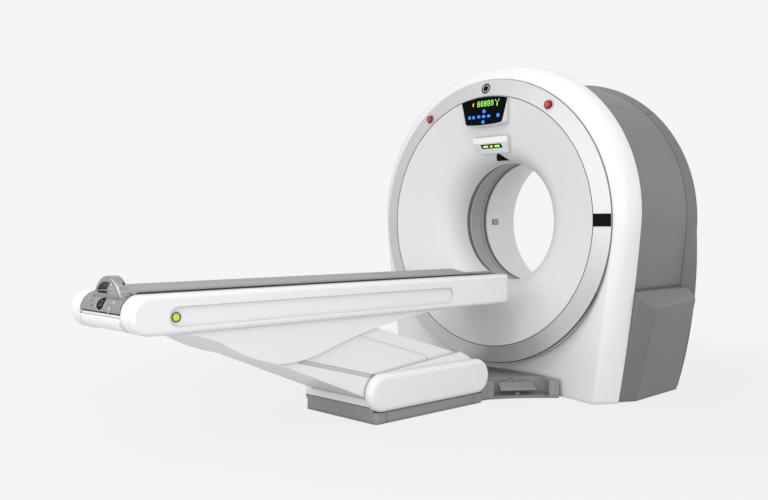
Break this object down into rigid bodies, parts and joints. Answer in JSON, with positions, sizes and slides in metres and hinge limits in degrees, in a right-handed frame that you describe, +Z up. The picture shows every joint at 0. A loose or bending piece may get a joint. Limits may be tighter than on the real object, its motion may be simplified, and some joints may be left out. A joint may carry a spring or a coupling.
{
  "type": "ct scanner",
  "caption": "Full-body CT scanner: a rounded gantry with a funnel-shaped bore, and a patient table that rises on an arm and slides its cradle into the bore.",
  "frame": {"origin": "on the floor under the bore's axis, in the scan plane", "axes": "+Z up, +Y along the bore away from the patient table, +X to the right of someone who faces the gantry from the table"},
  "size_m": [1.9196, 3.216, 1.886],
  "materials": {
    "cover_white": "satin, moulded",
    "cover_grey": "satin, moulded",
    "ring_silver": "fine metallic, satin",
    "window_grey": "smooth film, matt",
    "base_grey": "fine grain, matt",
    "screen_black": "polished",
    "plate_black": "satin",
    "lens_clear": "polished, tinted",
    "stop_red": "satin",
    "button_yellow": "satin",
    "cradle_grey": "carbon laminate, satin",
    "handle_metal": "cast and brushed",
    "frame_steel": "powder coat, satin",
    "shaft_steel": "ground",
    "rotor_alloy": "machined",
    "case_metal": "powder coat, satin",
    "contact_brass": "machined",
    "belt_rubber": "ribbed",
    "glide_plastic": "low-friction"
  },
  "bodies": {
    "base": {"gantry_frame": "frame_steel", "bearing_outer": "shaft_steel", "front_cover": "cover_white", "ring_fascia": "ring_silver", "funnel_cover": "cover_white", "scan_window": "window_grey", "bore_liner": "cover_white", "top_cover": "cover_grey", "side_cover_left": "cover_grey", "side_cover_right": "cover_grey", "rear_cover": "cover_grey", "side_box_left": "cover_grey", "side_box_right": "cover_grey", "display_housing": "cover_white", "display_screen": "screen_black", "light_box": "cover_white", "light_lens": "lens_clear", "laser_window": "screen_black", "badge_plate": "plate_black", "drive_motor": "case_metal", "drive_belt": "belt_rubber", "brush_block": "case_metal", "table_plinth": "base_grey", "base_frame": "frame_steel", "base_deck": "cover_white", "base_cover_left": "cover_white", "base_cover_right": "cover_white", "pivot_shaft": "shaft_steel", "pedal_tray_left": "base_grey", "pedal_tray_right": "base_grey"},
    "rotor": {"rotor_ring": "rotor_alloy", "xray_tube": "case_metal", "collimator": "case_metal", "detector_arc": "case_metal", "hv_generator": "case_metal", "heat_exchanger": "rotor_alloy", "slip_ring": "contact_brass", "counterweight": "case_metal"},
    "pulley": {"drive_pulley": "shaft_steel"},
    "lift": {"lift_arm": "frame_steel", "arm_cover": "cover_white"},
    "link": {"levelling_link": "shaft_steel"},
    "table": {"table_frame": "frame_steel", "side_panel_left": "cover_white", "side_panel_right": "cover_white", "belly_valance": "cover_white", "end_roll": "cover_white", "glide_pads": "glide_plastic", "table_shaft": "shaft_steel"},
    "cradle": {"cradle": "cradle_grey", "cradle_handle": "handle_metal", "cradle_carriage": "rotor_alloy"},
    "jack_body": {"actuator_body": "case_metal"},
    "jack_rod": {"actuator_rod": "shaft_steel"},
    "stop_left": {"stop_button_left": "stop_red"},
    "stop_right": {"stop_button_right": "stop_red"},
    "button_left": {"table_button_left": "button_yellow"},
    "button_right": {"table_button_right": "button_yellow"},
    "foot_left": {"pedal_left": "base_grey"},
    "foot_right": {"pedal_right": "base_grey"}
  },
  "joints": [
    {"name": "rotor_spin", "type": "hinge", "parent": "base", "child": "rotor", "pos_m": [0, 0.15, 0.976], "axis": [0, 1, 0], "continuous": true},
    {"name": "pulley_spin", "type": "hinge", "parent": "base", "child": "pulley", "pos_m": [0.61, 0.1, 0.205], "axis": [0, 1, 0], "continuous": true},
    {"name": "lift", "type": "hinge", "parent": "base", "child": "lift", "pos_m": [0, -0.85, 0.185], "axis": [-1, 0, 0], "range_deg": [0, 15.5]},
    {"name": "link_swing", "type": "hinge", "parent": "base", "child": "link", "pos_m": [0, -0.85, 0.135], "axis": [-1, 0, 0], "range_deg": [-0.1, 15.6]},
    {"name": "table_level", "type": "hinge", "parent": "lift", "child": "table", "pos_m": [0, -1.95, 0.455], "axis": [-1, 0, 0], "range_deg": [-15.6, 0.1]},
    {"name": "jack_tilt", "type": "hinge", "parent": "base", "child": "jack_body", "pos_m": [0.075, -1.39, 0.108], "axis": [1, 0, 0], "range_deg": [0, 12.6]},
    {"name": "jack_stroke", "type": "slide", "parent": "jack_body", "child": "jack_rod", "axis": [0, 0.9271, 0.3747], "range_m": [0, 0.0525]},
    {"name": "cradle_slide", "type": "slide", "parent": "table", "child": "cradle", "axis": [0, 1, 0], "range_m": [0, 1.65]},
    {"name": "stop_left_press", "type": "slide", "parent": "base", "child": "stop_left", "axis": [0, 1, 0], "range_m": [0, 0.005], "stiffness_N_per_m": 1500, "springref_m": -0.002},
    {"name": "stop_right_press", "type": "slide", "parent": "base", "child": "stop_right", "axis": [0, 1, 0], "range_m": [0, 0.005], "stiffness_N_per_m": 1500, "springref_m": -0.002},
    {"name": "button_left_press", "type": "slide", "parent": "table", "child": "button_left", "axis": [1, 0, 0], "range_m": [0, 0.003], "stiffness_N_per_m": 1500, "springref_m": -0.002},
    {"name": "button_right_press", "type": "slide", "parent": "table", "child": "button_right", "axis": [-1, 0, 0], "range_m": [0, 0.003], "stiffness_N_per_m": 1500, "springref_m": -0.002},
    {"name": "pedal_left_press", "type": "hinge", "parent": "base", "child": "foot_left", "pos_m": [-0.25276, -0.40383, 0.066], "axis": [0.5948, -0.8039, 0], "range_deg": [0, 6], "stiffness_Nm_per_rad": 6, "springref_deg": -14.32},
    {"name": "pedal_right_press", "type": "hinge", "parent": "base", "child": "foot_right", "pos_m": [0.25276, -0.40383, 0.066], "axis": [0.5948, 0.8039, 0], "range_deg": [0, 6], "stiffness_Nm_per_rad": 6, "springref_deg": -14.32}
  ],
  "couplings": [
    {"joint": "pulley_spin", "follows": "rotor_spin", "ratio": 12.417},
    {"joint": "link_swing", "follows": "lift", "ratio": 1},
    {"joint": "table_level", "follows": "lift", "ratio": -1},
    {"joint": "jack_tilt", "follows": "lift", "ratio": 0.80918},
    {"joint": "jack_stroke", "follows": "lift", "m_per_rad": 0.1932}
  ]
}
